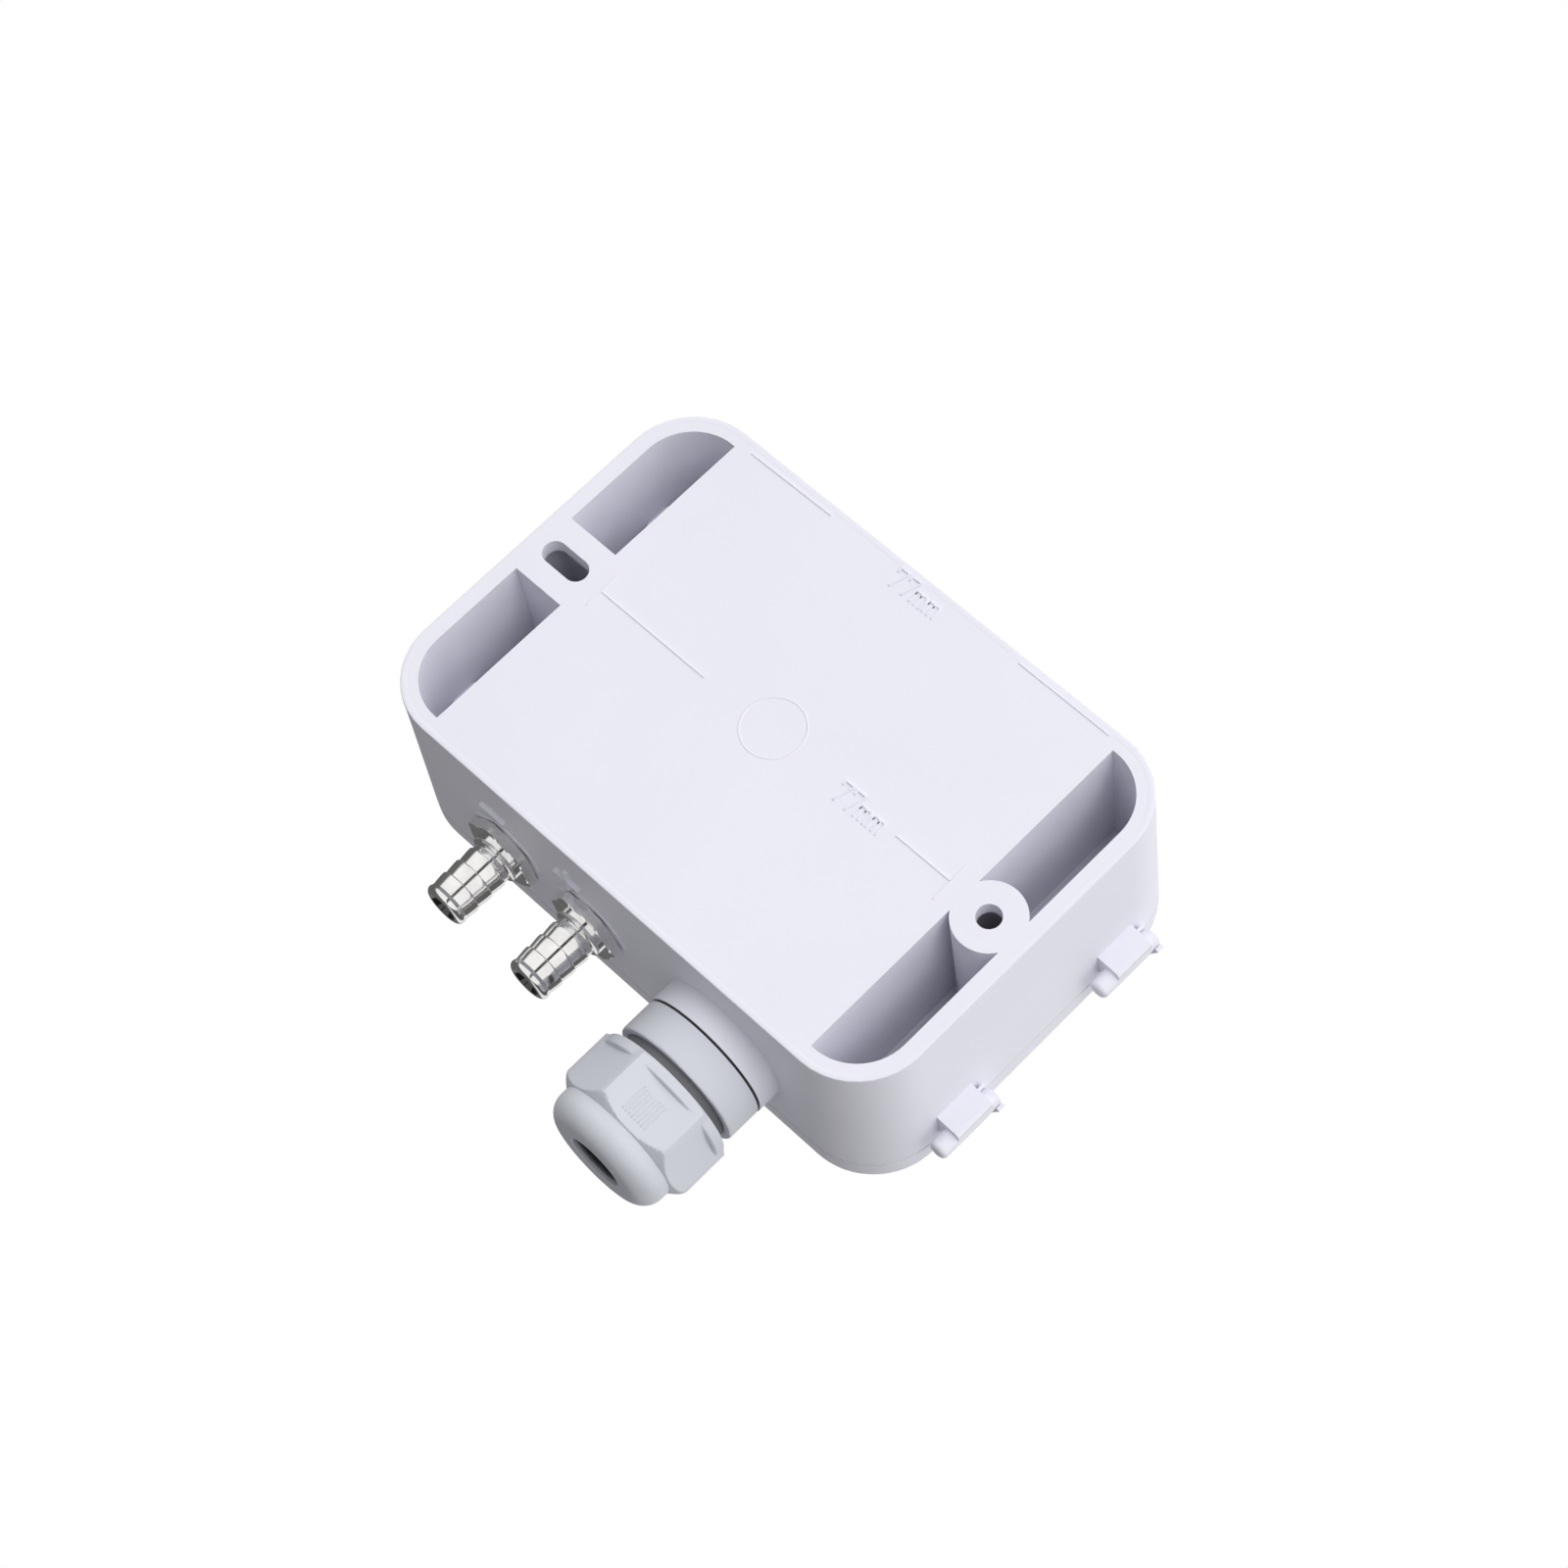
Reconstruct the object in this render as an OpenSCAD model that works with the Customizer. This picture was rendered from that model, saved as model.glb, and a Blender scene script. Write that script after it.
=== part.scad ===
/* [Housing] */
// How far the back face goes on past each mounting hole, along X
end_l = 6.6; // [6:0.1:16]
// Height of the housing at its back face, along Z
body_w = 60; // [54:0.5:90]
// Depth of the base, from the wall to the parting line
base_d = 27.5; // [24:0.5:40]
// Corner radius of the outline at the back face
corner_r = 10.4; // [6:0.2:14]
// How far the walls lean out from the back to the parting line
draft = 0.38; // [0:0.02:1]
// Rounding of the back rim
rim_r = 0.8; // [0.3:0.1:1.2]
// Thickness of the outer walls
wall = 2.4; // [1.6:0.1:3]
// Thickness of the floor behind the electronics
floor_t = 2.5; // [1.5:0.1:4]
// Thickness of the cross walls between the cavity and the end pockets
cross_t = 2.2; // [1.6:0.1:3]
// Thickness of the deck that closes each end pocket in front
deck_t = 2.4; // [1.5:0.1:3]
// How far the decks lie behind the parting line
deck_drop = 2; // [1.6:0.1:3]

/* [Wall mounting] */
// Distance between the two mounting holes
hole_pitch = 77; // [70:0.5:96]
// Diameter of the round mounting hole
hole_d = 3.5; // [3:0.1:5]
// Width of the slotted mounting hole
slot_w = 3.5; // [3:0.1:5]
// Overall length of the slotted mounting hole
slot_l = 7.6; // [6:0.1:9]
// Thickness of the seat under each screw head
seat_t = 2.5; // [1.5:0.1:5]
// Diameter of the well for the screw head
well_d = 8; // [7:0.1:8.4]
// Overall length of the well over the slot
slot_well_l = 10.9; // [9:0.1:11]
// Diameter of the round boss
boss_d = 10.1; // [9.6:0.1:12]
// Width of the web that holds the slot
web_w = 10.2; // [9.6:0.1:14]
// Where the end pockets start, measured from the hole's centre
pocket_in = 4.3; // [3:0.1:4.5]

/* [Lid] */
// Thickness of the lid over the parting gap
lid_t = 4.2; // [3.6:0.1:8]
// Thickness of the lid's front plate
lid_plate = 2.2; // [1.4:0.1:2.4]
// Rounding of the lid's front edge
lid_edge_r = 1.5; // [0.5:0.1:2]
// Gap between the base and the lid
part_gap = 0.3; // [0.2:0.05:0.5]
// Width of the rubber seal
seal_w = 1.2; // [0.8:0.1:1.4]
// Height of the rubber seal
seal_h = 1.2; // [0.8:0.1:1.6]

/* [Hinge] */
// Distance of each hinge from the middle of the housing
hinge_z = 15.2; // [10:0.2:17]
// Width of a hinge lug
lug_w = 6.4; // [4:0.2:10]
// Diameter of the hinge pins
pin_d = 2.9; // [2:0.1:3.4]
// How far a pin stands out below its lug
pin_low = 2.9; // [2:0.1:4]
// How far a pin stands out above its lug, where the hook holds it
pin_high = 1.6; // [1.4:0.1:3]
// Space between a pin and the end wall
pin_space = 0.92; // [0.85:0.01:1.5]
// Depth of the pin axis behind the parting line
pin_back = 3; // [2.6:0.1:4]
// Thickness of a lid hook round its pin
hook_t = 0.5; // [0.4:0.05:0.6]
// Width of a lid hook
hook_w = 1.1; // [0.8:0.1:1.4]
// Running clearance of a lid hook on its pin
hook_gap = 0.08; // [0.04:0.01:0.1]

/* [Lid screws] */
// Diameter of a lid screw's shank
screw_d = 3.6; // [3:0.1:4]
// Diameter of a lid screw's head
screw_head_d = 6.8; // [6:0.1:7.4]
// Thickness of a lid screw's head
screw_head_t = 1.6; // [1.2:0.1:1.8]
// Distance of each lid screw from the middle of the housing
screw_z = 18.5; // [14:0.5:20]
// How far a lid screw reaches behind the deck
screw_reach = 7.5; // [5:0.5:10]

/* [Pressure ports] */
// How far the axes of the ports and the gland lie behind the parting line
port_back = 10.8; // [10.2:0.1:13]
// Place of the port nearer the middle, along X
port_x = 5.4; // [2:0.1:8]
// Distance between the two ports
port_pitch = 16; // [14:0.5:18]
// Size across flats of a port's hexagon
port_af = 10.5; // [8:0.5:12]
// Thickness of a port's hexagon
port_hex_t = 1.5; // [1.2:0.1:3]
// Diameter over the ridges of a hose barb
barb_d = 6.8; // [5:0.1:8]
// Diameter between the ridges of a hose barb
barb_root_d = 6; // [4.4:0.1:6.4]
// Length of a port in front of its hexagon
barb_l = 10.1; // [8:0.1:16]
// Number of ridges on a barb
barb_n = 3; // [2:1:4]
// Bore through a port
port_bore = 2.4; // [1.6:0.1:3]
// Diameter of the port's thread in the housing wall
port_thread_d = 6; // [5:0.5:7]

/* [Cable gland] */
// Place of the gland along X
gland_x = -19.2; // [-21:0.1:-17]
// Diameter of the moulded boss under the gland
gland_boss_d = 19.8; // [18:0.1:20.4]
// How far the boss stands out of the wall
gland_boss_h = 3.4; // [2:0.1:6]
// Thread diameter of the gland
gland_thread_d = 15; // [12:0.5:16]
// Size across flats of the gland's hexagons
gland_af = 19; // [17:0.5:20]
// Diameter over the rounded corners of the fixed hexagon
collar_d = 19.5; // [19:0.1:21]
// Length of the fixed hexagon
collar_l = 4.9; // [4:0.1:8]
// Diameter over the rounded corners of the dome nut
nut_d = 20.4; // [19.6:0.1:22]
// How far the dome nut is screwed round past a flat that faces the wall
nut_turn = 19; // [0:1:60]
// Length of the dome nut's hexagon
nut_hex_l = 8.4; // [6:0.1:12]
// Length of the dome in front of the hexagon
dome_l = 4.3; // [3:0.1:6]
// Diameter of the dome behind its rounding
dome_d = 18.5; // [16:0.1:18.9]
// Rounding of the dome
dome_r = 3; // [1:0.1:3.6]
// Diameter of the opening in the dome
mouth_d = 8.1; // [6:0.1:9]
// Diameter of the bore through the rubber seal
cable_d = 7; // [4:0.1:7.4]

/* [Electronics] */
// Thickness of the circuit board
board_t = 1.6; // [1:0.1:2]
// Height of the board's back face over the floor
board_lift = 5; // [3:0.1:6]
// Gap between the board and the cavity walls along X
board_gap_x = 2.6; // [1:0.1:5]
// Space between the board and the wall with the ports
board_low = 9.1; // [6:0.1:12]
// Space between the board and the opposite wall
board_high = 2.1; // [1:0.1:5]
// Travel of the zero button
zero_travel = 0.6; // [0.3:0.1:1]
// Travel of a switch slider
dip_travel = 1.4; // [1:0.1:1.6]
// Distance between the terminals
term_pitch = 5; // [3.5:0.1:5.1]
// Number of terminals
term_n = 3; // [2:1:3]

/* [Hidden] */
$fn = 72;

cut = 0.5;
fit = 0.03;
run = 0.07;
apart = 0.35;

half_l = hole_pitch / 2 + end_l;
half_w = body_w / 2;
corner_x = half_l - corner_r;
corner_z = half_w - corner_r;
front_r = corner_r + draft;
pocket_x = hole_pitch / 2 - pocket_in;
cavity_x = pocket_x - cross_t;
cavity_z = half_w - wall;
cavity_r = 2;
deck_front = base_d - deck_drop;
deck_back = deck_front - deck_t;
port_d = base_d - port_back;
port_wall_z = half_w + draft * port_d / base_d;
hinge_wall_x = half_l + draft * (base_d - pin_back) / base_d;

lid_back = base_d + part_gap;
lid_front = lid_back + lid_t;
lid_inside = lid_front - lid_plate;
seal_x = pocket_x - cross_t / 2;
seal_z = half_w - wall / 2;
rib_w = seal_w + 2 * 0.6;

pin_r = pin_d / 2;
pin_end_r = 0.48 * pin_r;
pin_x = hinge_wall_x + pin_space + pin_r;
pin_depth = base_d - pin_back;
hook_in = pin_r + hook_gap;
hook_out = hook_in + hook_t;
lug_out = pin_x + pin_r - 0.1;
lug_back = pin_depth - pin_r - 0.8;
lug_front = pin_depth + pin_r + 0.6;
lug_slope = 1.4;

screw_x = hole_pitch / 2;
socket_d = screw_d + 1.2;
post_d = 9;
screw_tip = deck_front - screw_reach;
screw_seat = lid_front - screw_head_t - part_gap;

port_seat = half_w + draft + 0.05;
port_oring_t = 0.4;
port_out = port_seat + port_oring_t + port_hex_t;
port_tip = port_out + barb_l;
tail_d = 4;
tail_end = cavity_z - 9;
port_nut_af = 9;
port_nut_t = 2.4;
port_flare = 0.5;

gland_seat = port_wall_z + gland_boss_h;
washer_t = 0.5;
collar_in = gland_seat + washer_t;
collar_out = collar_in + collar_l;
neck_d = 17.2;
neck_l = 1.6;
nut_in = collar_out + neck_l + apart;
nut_out = nut_in + nut_hex_l;
dome_tip = nut_out + dome_l;
nut_thread_d = 16.6;
nut_thread_l = 5.5;
gland_end_in = cavity_z - 2;
gland_bore = 10;
claw_d = 14.4;
claw_t = 1;
claw_end = nut_out - 1.4;
nose_d = mouth_d + 0.7;
mouth_l = 0.6;
nose_tip = dome_tip - mouth_l - apart;

board_back = floor_t + board_lift;
board_front = board_back + board_t;
board_x = cavity_x - board_gap_x;
board_bottom = board_low - cavity_z;
board_top = cavity_z - board_high;
board_mid = (board_bottom + board_top) / 2;
board_z = (board_top - board_bottom) / 2;
board_hole_in = 3.2;
board_hole_x = board_x - board_hole_in;
board_hole_z = board_z - board_hole_in;
board_screw_d = 2.9;
board_pilot_d = 2.2;
board_head_d = 5;
board_head_t = 1.4;
board_post_d = 5.2;

hose_in_d = tail_d + 2 * fit;
hose_out_d = 6.4;
sensor_x = port_x + port_pitch / 2;
sensor_w = port_pitch + tail_d + 3;
sensor_h = 13;
sensor_t = port_d + tail_d / 2 + 0.5 - board_front;
sensor_z = board_top - 10 - sensor_h / 2;
sensor_bottom = sensor_h / 2 - sensor_z;
sensor_tail_l = 5;
sensor_bore = port_bore - 0.4;
hose_end_in = sensor_bottom + 0.3;
hose_end_out = cavity_z - port_nut_t - 0.9;

term_w = term_pitch * term_n + 1;
term_h = 9.6;
term_t = 10;
term_x = 0.5 + board_head_d / 2 + term_w / 2 - board_hole_x;
term_z = board_bottom + 4.2 + term_h / 2;
term_hole_d = 4;
term_floor = 2;
term_screw_t = 2.6;
term_screw_top = term_t - 1.8;

zero_base = 6;
zero_body_t = 4;
zero_stem_d = 3.4;
zero_floor = 1.2;
zero_x = 7.4 - board_x;
zero_z = board_top - 11.5;
dip_w = 7;
dip_h = 6.2;
dip_t = 4;
dip_pitch = 2.54;
dip_slot_w = 1.8;
dip_slot_l = 3.4;
dip_slot_t = 1.6;
dip_slack = 0.3;
dip_x = zero_x + 14;
dip_z = board_top - 10.5;
led_d = 3;
led_rim_d = 3.8;
led_l = 3.2;
led_x = zero_x + 6.5;
led_z = board_top - 5;
capacitor_d = 6.3;
capacitor_t = 7.4;
capacitor_base = capacitor_d + 0.5;
capacitor_x = sensor_x;
capacitor_z = board_top - 1.2 - capacitor_base / 2;
chip_h = 3.9;
chip_t = 1.5;
lead_pitch = 1.27;
lead_w = 0.4;
lead_l = 1.2;
lead_t = 0.7;
signal_leads = 7;
signal_x = dip_x;
signal_z = (term_z + term_h / 2 + dip_z - dip_h / 2) / 2;
regulator_leads = 4;
regulator_x = zero_x;
regulator_z = (term_z + term_h / 2 + zero_z - zero_base / 2) / 2;

// The parts are drawn with the back face down, so that depth from the wall is up, and stood against the wall here.
module as_mounted() {
    rotate([90, 0, 0]) children();
}

// Turns a part that is drawn standing on Z to point down out of the port wall, at the depth of the port axes.
module downward(x) {
    translate([x, 0, port_d]) rotate([90, 0, 0]) children();
}

// Section of a moulded slab that stands on its rounded edges, as half width against depth.
module slab_section(offset_x, r_start, r_end, depth, round_r) {
    low = offset_x + r_start - round_r;
    polygon([
        [-low, 0],
        [low, 0],
        [low + round_r, round_r],
        [offset_x + r_end, depth],
        [-offset_x - r_end, depth],
        [-low - round_r, round_r]
    ]);
    for (side = [-1, 1])
        translate([side * low, round_r]) circle(r = round_r);
}

// Half section of the same wall round a corner's axis.
module corner_section(r_start, r_end, depth, round_r) {
    polygon([
        [0, 0],
        [r_start - round_r, 0],
        [r_start, round_r],
        [r_end, depth],
        [0, depth]
    ]);
    translate([r_start - round_r, round_r]) circle(r = round_r);
}

// A drafted box with round corners: four turned corners and two slabs with the same section.
module moulded_box(cx, cz, r_start, r_end, depth, round_r) {
    for (sx = [-1, 1], sz = [-1, 1])
        translate([sx * cx, sz * cz, 0])
            rotate_extrude() corner_section(r_start, r_end, depth, round_r);
    translate([-cx, 0, 0]) rotate([90, 0, 90])
        linear_extrude(2 * cx) slab_section(cz, r_start, r_end, depth, round_r);
    translate([0, cz, 0]) rotate([90, 0, 0])
        linear_extrude(2 * cz) slab_section(cx, r_start, r_end, depth, round_r);
}

// An upright block with round corners, from one depth to another.
module round_block(half_x, half_z, r, from, to) {
    translate([0, 0, from]) linear_extrude(to - from) {
        square([2 * half_x, 2 * (half_z - r)], center = true);
        square([2 * (half_x - r), 2 * half_z], center = true);
        for (sx = [-1, 1], sz = [-1, 1])
            translate([sx * (half_x - r), sz * (half_z - r)]) circle(r = r);
    }
}

// The space inside the outer walls at one end of the housing, past the cross wall.
module end_space(side, from, to) {
    intersection() {
        round_block(half_l - wall, half_w - wall, corner_r - wall, from, to);
        translate([side * (pocket_x + half_l / 2), 0, (from + to) / 2])
            cube([half_l, 2 * half_w, to - from + 2], center = true);
    }
}

module upright(x, z, d, from, to) {
    translate([x, z, from]) cylinder(d = d, h = to - from);
}

// A slotted hole along X.
module slot_hole(x, width, len, from, to) {
    translate([x, 0, from]) linear_extrude(to - from) {
        square([len - width, width], center = true);
        for (side = [-1, 1])
            translate([side * (len - width) / 2, 0]) circle(d = width);
    }
}

module hexagon(af, h) {
    cylinder(d = af / cos(30), h = h, $fn = 6);
}

// Side view of a hinge lug, as distance from the end wall against depth from the wall.
module lug_section() {
    polygon([
        [hinge_wall_x - wall / 2, lug_back - 0.4],
        [lug_out - 0.5, lug_back],
        [lug_out, lug_back + 0.5],
        [lug_out, lug_front - lug_slope],
        [lug_out - lug_slope, lug_front],
        [hinge_wall_x - wall / 2, lug_front]
    ]);
}

// Half section of a hinge pin, from its upper end to its rounded lower one.
module pin_section(len) {
    edge = 0.3;
    polygon([
        [0, 0],
        [pin_r - edge, 0],
        [pin_r, edge],
        [pin_r, len - pin_end_r],
        [pin_r - pin_end_r, len],
        [0, len]
    ]);
    translate([pin_r - pin_end_r, len - pin_end_r]) circle(r = pin_end_r);
}

module hinge_lugs() {
    for (side = [-1, 1]) {
        lug_top = side * hinge_z + lug_w / 2;
        translate([0, lug_top, 0])
            rotate([90, 0, 0]) linear_extrude(lug_w) mirror([1, 0]) lug_section();
        translate([-pin_x, lug_top + pin_high, pin_depth])
            rotate([90, 0, 0]) rotate_extrude() pin_section(pin_high + lug_w + pin_low);
    }
}

module end_pockets() {
    difference() {
        end_space(-1, -cut, deck_back);
        upright(-screw_x, 0, boss_d, -cut, deck_back);
    }
    difference() {
        end_space(1, -cut, deck_back);
        translate([pocket_x - cut, -web_w / 2, -cut])
            cube([half_l, web_w, deck_back + 2 * cut]);
        for (side = [-1, 1])
            upright(screw_x, side * screw_z, post_d, screw_tip - 2, deck_back + cut);
    }
}

module base_housing() as_mounted() color([0.87, 0.87, 0.89]) difference() {
    union() {
        difference() {
            union() {
                moulded_box(corner_x, corner_z, corner_r, front_r, base_d, rim_r);
                downward(gland_x) cylinder(d = gland_boss_d, h = gland_seat);
                for (i = [0, 1])
                    downward(port_x + i * port_pitch) cylinder(d = port_af + 2, h = port_seat);
            }
            round_block(cavity_x, cavity_z, cavity_r, floor_t, base_d + cut);
            end_pockets();
            for (side = [-1, 1])
                end_space(side, deck_front, base_d + cut);
        }
        hinge_lugs();
        for (sx = [-1, 1], sz = [-1, 1])
            upright(sx * board_hole_x, board_mid + sz * board_hole_z, board_post_d, floor_t / 2, board_back);
    }
    upright(-screw_x, 0, hole_d, -cut, base_d);
    upright(-screw_x, 0, well_d, seat_t, base_d);
    slot_hole(screw_x, slot_w, slot_l, -cut, base_d);
    slot_hole(screw_x, well_d, slot_well_l, seat_t, base_d);
    for (side = [-1, 1])
        upright(screw_x, side * screw_z, socket_d, screw_tip - 0.5, base_d);
    for (i = [0, 1])
        downward(port_x + i * port_pitch)
            cylinder(d = port_thread_d + 2 * fit, h = half_w + 4 * wall);
    downward(gland_x) cylinder(d = gland_thread_d + 2 * fit, h = half_w + 8 * wall);
    for (sx = [-1, 1], sz = [-1, 1])
        upright(sx * board_hole_x, board_mid + sz * board_hole_z, board_pilot_d, floor_t + 0.5, base_d);
}

// Side view of a lid hook: a ring round the pin, open to the back and outside, and its foot on the lid's edge.
module hook_section() {
    inner_x = pin_x - hook_out;
    difference() {
        union() {
            translate([pin_x, pin_depth]) circle(r = hook_out);
            polygon([
                [inner_x, pin_depth],
                [inner_x, lid_back + 0.1],
                [half_l - wall / 2, lid_back + 0.1],
                [half_l - wall / 2, lid_inside],
                [hinge_wall_x + 1, lid_inside],
                [pin_x + 0.6, lid_back - 0.2],
                [pin_x + hook_out, pin_depth + 0.3]
            ]);
        }
        translate([pin_x, pin_depth]) circle(r = hook_in);
        translate([pin_x, pin_depth]) polygon([
            [0, 0],
            [-4, -2.3],
            [-4, -6],
            [6, -6],
            [6, 0.4]
        ]);
    }
}

// One hook above each lug, so that the lid rests on the lugs.
module lid_hooks() {
    for (side = [-1, 1])
        translate([0, side * hinge_z + lug_w / 2 + apart + hook_w, 0])
            rotate([90, 0, 0]) linear_extrude(hook_w) mirror([1, 0]) hook_section();
}

// The front shell of the lid, with its rounded edge in front.
module lid_shell() {
    translate([0, 0, lid_front]) mirror([0, 0, 1])
        moulded_box(corner_x, corner_z, front_r, front_r, lid_t, lid_edge_r);
}

module seal_ring(grow, from, to) {
    difference() {
        round_block(seal_x + seal_w / 2 + grow, seal_z + seal_w / 2 + grow, cavity_r, from, to);
        round_block(seal_x - seal_w / 2 - grow, seal_z - seal_w / 2 - grow, 1, from - cut, to + cut);
    }
}

module lid() as_mounted() color([0.88, 0.88, 0.9]) difference() {
    union() {
        difference() {
            lid_shell();
            round_block(seal_x - rib_w / 2, seal_z - rib_w / 2, cavity_r, lid_back - cut, lid_inside);
            for (side = [-1, 1])
                intersection() {
                    end_space(side, lid_back - cut, lid_inside);
                    translate([side * (seal_x + rib_w / 2 + half_l / 2), 0, lid_back])
                        cube([half_l, 2 * half_w, 4 * lid_t], center = true);
                }
        }
        for (side = [-1, 1])
            upright(screw_x, side * screw_z, screw_head_d + 3, lid_back, lid_inside + 0.2);
        lid_hooks();
    }
    seal_ring(0, lid_back - cut, lid_back + seal_h);
    for (side = [-1, 1]) {
        upright(screw_x, side * screw_z, screw_d + 2 * run, lid_back - cut, lid_front + cut);
        upright(screw_x, side * screw_z, screw_head_d + 0.7, screw_seat - part_gap, lid_front + cut);
    }
}

module lid_seal() as_mounted() color([0.15, 0.15, 0.16]) seal_ring(-fit, lid_back, lid_back + seal_h);

// A captive lid screw with a plain shank and a cross in its head.
module lid_screw(side) {
    difference() {
        union() {
            upright(screw_x, side * screw_z, screw_d, screw_tip, screw_seat + 0.2);
            upright(screw_x, side * screw_z, screw_head_d, screw_seat, screw_seat + screw_head_t);
        }
        for (turn = [0, 90])
            translate([screw_x, side * screw_z, lid_front]) rotate([0, 0, turn])
                cube([4.6, 1, 2 * screw_head_t + 0.4], center = true);
    }
}

module lid_screw_upper() as_mounted() color([0.8, 0.8, 0.82]) lid_screw(1);

module lid_screw_lower() as_mounted() color([0.8, 0.8, 0.82]) lid_screw(-1);

module screw_ring(side) {
    difference() {
        upright(screw_x, side * screw_z, screw_d + 2.4, lid_back - part_gap - 1, lid_back - part_gap);
        upright(screw_x, side * screw_z, screw_d + 2 * fit, deck_front, lid_front);
    }
}

module screw_ring_upper() as_mounted() color([0.12, 0.12, 0.12]) screw_ring(1);

module screw_ring_lower() as_mounted() color([0.12, 0.12, 0.12]) screw_ring(-1);

// Outline of a hose barb as radius against distance out of the wall.
module barb_section() {
    ridge = barb_d / 2;
    root = barb_root_d / 2;
    tip_r = 1.1;
    first = port_out + 2.2;
    pitch = (port_tip - tip_r - 0.3 - first) / barb_n;
    ridges = [
        for (i = [0:barb_n - 1], step = [0:1])
            step == 0 ? [ridge, first + i * pitch] : [root + 0.1, first + (i + 1) * pitch]
    ];
    polygon(concat(
        [
            [0, tail_end],
            [tail_d / 2 - 0.4, tail_end],
            [tail_d / 2, tail_end + 0.8],
            [tail_d / 2, cavity_z - port_nut_t - 0.6],
            [port_thread_d / 2, cavity_z - port_nut_t - 0.6],
            [port_thread_d / 2, port_out - 0.2],
            [barb_d / 2 + 0.5, port_out - 0.2],
            [barb_d / 2 + 0.5, port_out + 0.8],
            [root, port_out + 1],
            [root, first - 0.2]
        ],
        ridges,
        [
            [ridge - 0.1, port_tip - tip_r],
            [ridge - 0.1 - tip_r, port_tip],
            [0, port_tip]
        ]
    ));
    translate([ridge - 0.1 - tip_r, port_tip - tip_r]) circle(r = tip_r);
}

module pressure_port(x) {
    downward(x) difference() {
        union() {
            rotate_extrude() barb_section();
            translate([0, 0, port_out - port_hex_t]) intersection() {
                hexagon(port_af, port_hex_t);
                cylinder(d = port_af / cos(30) - 0.3, h = port_hex_t);
            }
        }
        translate([0, 0, tail_end - cut]) cylinder(d = port_bore, h = port_tip - tail_end + 2 * cut);
        translate([0, 0, port_tip - port_flare])
            cylinder(d1 = port_bore, d2 = port_bore + 4 * port_flare, h = 2 * port_flare);
    }
}

module port_minus() as_mounted() color([0.8, 0.8, 0.8]) pressure_port(port_x + port_pitch);

module port_plus() as_mounted() color([0.8, 0.8, 0.8]) pressure_port(port_x);

module port_oring(x) {
    downward(x) difference() {
        translate([0, 0, port_seat]) cylinder(d = port_af - 0.7, h = port_oring_t);
        cylinder(d = port_thread_d + 2 * fit, h = port_tip);
    }
}

module port_oring_minus() as_mounted() color([0.1, 0.1, 0.1]) port_oring(port_x + port_pitch);

module port_oring_plus() as_mounted() color([0.1, 0.1, 0.1]) port_oring(port_x);

module port_nut(x) {
    downward(x) translate([0, 0, cavity_z - port_nut_t]) difference() {
        hexagon(port_nut_af, port_nut_t);
        translate([0, 0, -cut]) cylinder(d = port_thread_d + 2 * fit, h = port_nut_t + 2 * cut);
    }
}

module port_nut_minus() as_mounted() color([0.75, 0.72, 0.6]) port_nut(port_x + port_pitch);

module port_nut_plus() as_mounted() color([0.75, 0.72, 0.6]) port_nut(port_x);

module gland_body() as_mounted() color([0.82, 0.84, 0.87]) downward(gland_x) difference() {
    union() {
        translate([0, 0, gland_end_in]) cylinder(d = gland_thread_d, h = collar_in - gland_end_in + cut);
        translate([0, 0, collar_in]) intersection() {
            hexagon(gland_af, collar_l);
            cylinder(d = collar_d, h = collar_l);
        }
        translate([0, 0, collar_out - cut]) cylinder(d = neck_d, h = neck_l + cut);
        translate([0, 0, collar_out]) cylinder(d = nut_thread_d, h = nut_in + nut_thread_l - collar_out);
        translate([0, 0, nut_in]) cylinder(d = claw_d, h = claw_end - nut_in);
    }
    translate([0, 0, gland_end_in - cut]) cylinder(d = gland_bore, h = claw_end);
    translate([0, 0, nut_in]) cylinder(d = claw_d - 2 * claw_t, h = claw_end);
}

module gland_washer() as_mounted() color([0.08, 0.08, 0.08]) downward(gland_x) difference() {
    translate([0, 0, gland_seat]) cylinder(d = gland_boss_d - 0.5, h = washer_t);
    cylinder(d = gland_thread_d + 2 * fit, h = dome_tip);
}

// The rubber sleeve between the claws, with a nose that ends just behind the dome's mouth.
module gland_seal() as_mounted() color([0.12, 0.12, 0.13]) downward(gland_x) difference() {
    union() {
        translate([0, 0, nut_in]) cylinder(d = claw_d - 2 * claw_t - 2 * fit, h = claw_end - nut_in);
        translate([0, 0, nut_in]) cylinder(d = nose_d, h = nose_tip - nut_in);
    }
    cylinder(d = cable_d, h = dome_tip);
}

// Outline of the dome in front of the nut's hexagon, as radius against distance from the middle.
module dome_section() {
    polygon([
        [0, nut_in],
        [dome_d / 2, nut_in],
        [dome_d / 2, dome_tip - dome_r],
        [dome_d / 2 - dome_r, dome_tip],
        [0, dome_tip]
    ]);
    translate([dome_d / 2 - dome_r, dome_tip - dome_r]) circle(r = dome_r);
}

// The solid that turns the corners of the nut's hexagon off, all along and at both ends.
module nut_corner_section() {
    rim = gland_af / 2 - 0.1;
    polygon([
        [0, nut_in],
        [rim, nut_in],
        [nut_d / 2, nut_in + 1.1],
        [nut_d / 2, nut_out - 1.4],
        [rim, nut_out],
        [0, nut_out]
    ]);
}

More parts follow.
